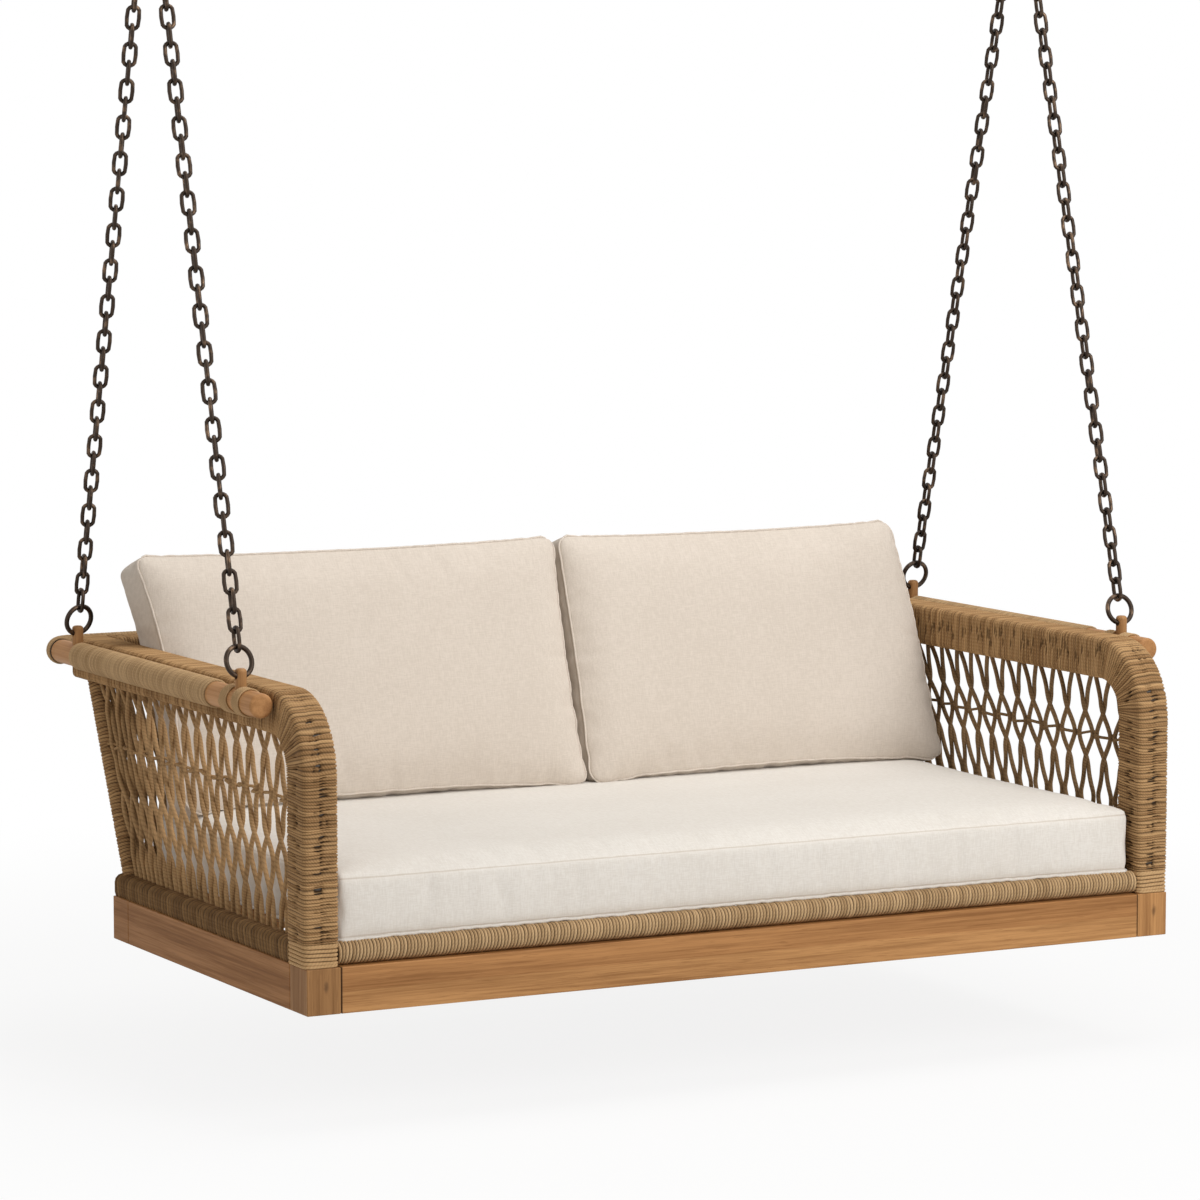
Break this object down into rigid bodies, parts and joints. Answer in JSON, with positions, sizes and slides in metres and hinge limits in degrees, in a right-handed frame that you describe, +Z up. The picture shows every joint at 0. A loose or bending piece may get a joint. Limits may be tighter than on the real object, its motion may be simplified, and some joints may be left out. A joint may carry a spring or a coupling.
{
  "type": "hanging swing seat",
  "caption": "Hanging porch swing seat with a teak plinth, rope-bound arms and back, open rope nets, loose cushions and chains that meet under ceiling brackets.",
  "frame": {"origin": "on the ceiling, midway between the two brackets, at the centre of their screw holes", "axes": "+X to the seat's right as seen from the front, +Y to its back, +Z up"},
  "size_m": [1.9866, 1.1692, 2.222],
  "materials": {
    "teak": "oiled, satin",
    "rope": "woven outdoor rope, matte",
    "frame_tube": "powder coat, matte",
    "dark_bronze": "dark bronze, satin",
    "fasteners": "stainless, brushed",
    "bush_brass": "machined",
    "cushion_cloth": "linen weave, matte"
  },
  "bodies": {
    "ceiling_hangers": {"left_hanger_bracket": "dark_bronze", "right_hanger_bracket": "dark_bronze", "pivot_bolts": "fasteners", "pivot_nuts": "fasteners"},
    "hanger_eyes": {"left_hanger_eye": "dark_bronze", "right_hanger_eye": "dark_bronze", "hanger_bushes": "bush_brass"},
    "left_chains": {"left_top_ring": "dark_bronze", "left_front_chain": "dark_bronze", "left_back_chain": "dark_bronze", "left_front_ring": "dark_bronze", "left_back_ring": "dark_bronze"},
    "right_chains": {"right_top_ring": "dark_bronze", "right_front_chain": "dark_bronze", "right_back_chain": "dark_bronze", "right_front_ring": "dark_bronze", "right_back_ring": "dark_bronze"},
    "seat": {"front_rail": "teak", "back_rail": "teak", "left_side_rail": "teak", "right_side_rail": "teak", "front_left_block": "teak", "front_right_block": "teak", "back_left_block": "teak", "back_right_block": "teak", "seat_slats": "teak", "slat_bearers": "teak", "seat_bar_tubes": "frame_tube", "front_bar_wrap": "rope", "back_bar_wrap": "rope", "left_bar_wrap": "rope", "right_bar_wrap": "rope", "left_arm_tube": "frame_tube", "right_arm_tube": "frame_tube", "left_arm_wrap": "rope", "right_arm_wrap": "rope", "left_foot_lashing": "rope", "right_foot_lashing": "rope", "back_band_tube": "frame_tube", "back_band_wrap": "rope", "back_posts": "frame_tube", "left_back_post_wrap": "rope", "right_back_post_wrap": "rope", "left_arm_dowel": "teak", "right_arm_dowel": "teak", "left_dowel_wrap": "rope", "right_dowel_wrap": "rope", "left_dowel_lashing": "rope", "right_dowel_lashing": "rope", "back_rail_tube": "frame_tube", "back_rail_wrap": "rope", "left_net": "rope", "right_net": "rope", "back_net": "rope", "hanger_pegs": "teak", "seat_cushion": "cushion_cloth", "left_back_cushion": "cushion_cloth", "right_back_cushion": "cushion_cloth"}
  },
  "joints": [
    {"name": "swing", "type": "hinge", "parent": "ceiling_hangers", "child": "hanger_eyes", "pos_m": [0, 0, -0.046], "axis": [1, 0, 0], "range_deg": [-25, 25]},
    {"name": "left_sway", "type": "hinge", "parent": "hanger_eyes", "child": "left_chains", "pos_m": [-0.9583, 0, -0.084], "axis": [0, 1, 0], "range_deg": [-6, 6]},
    {"name": "right_sway", "type": "hinge", "parent": "hanger_eyes", "child": "right_chains", "pos_m": [0.9583, 0, -0.084], "axis": [0, 1, 0], "range_deg": [-6, 6]},
    {"name": "seat_level", "type": "hinge", "parent": "left_chains", "child": "seat", "pos_m": [-0.9583, 0, -1.6], "axis": [0, 1, 0], "range_deg": [-6, 6]}
  ],
  "couplings": [
    {"joint": "right_sway", "follows": "left_sway", "ratio": 1},
    {"joint": "seat_level", "follows": "left_sway", "ratio": -1}
  ]
}
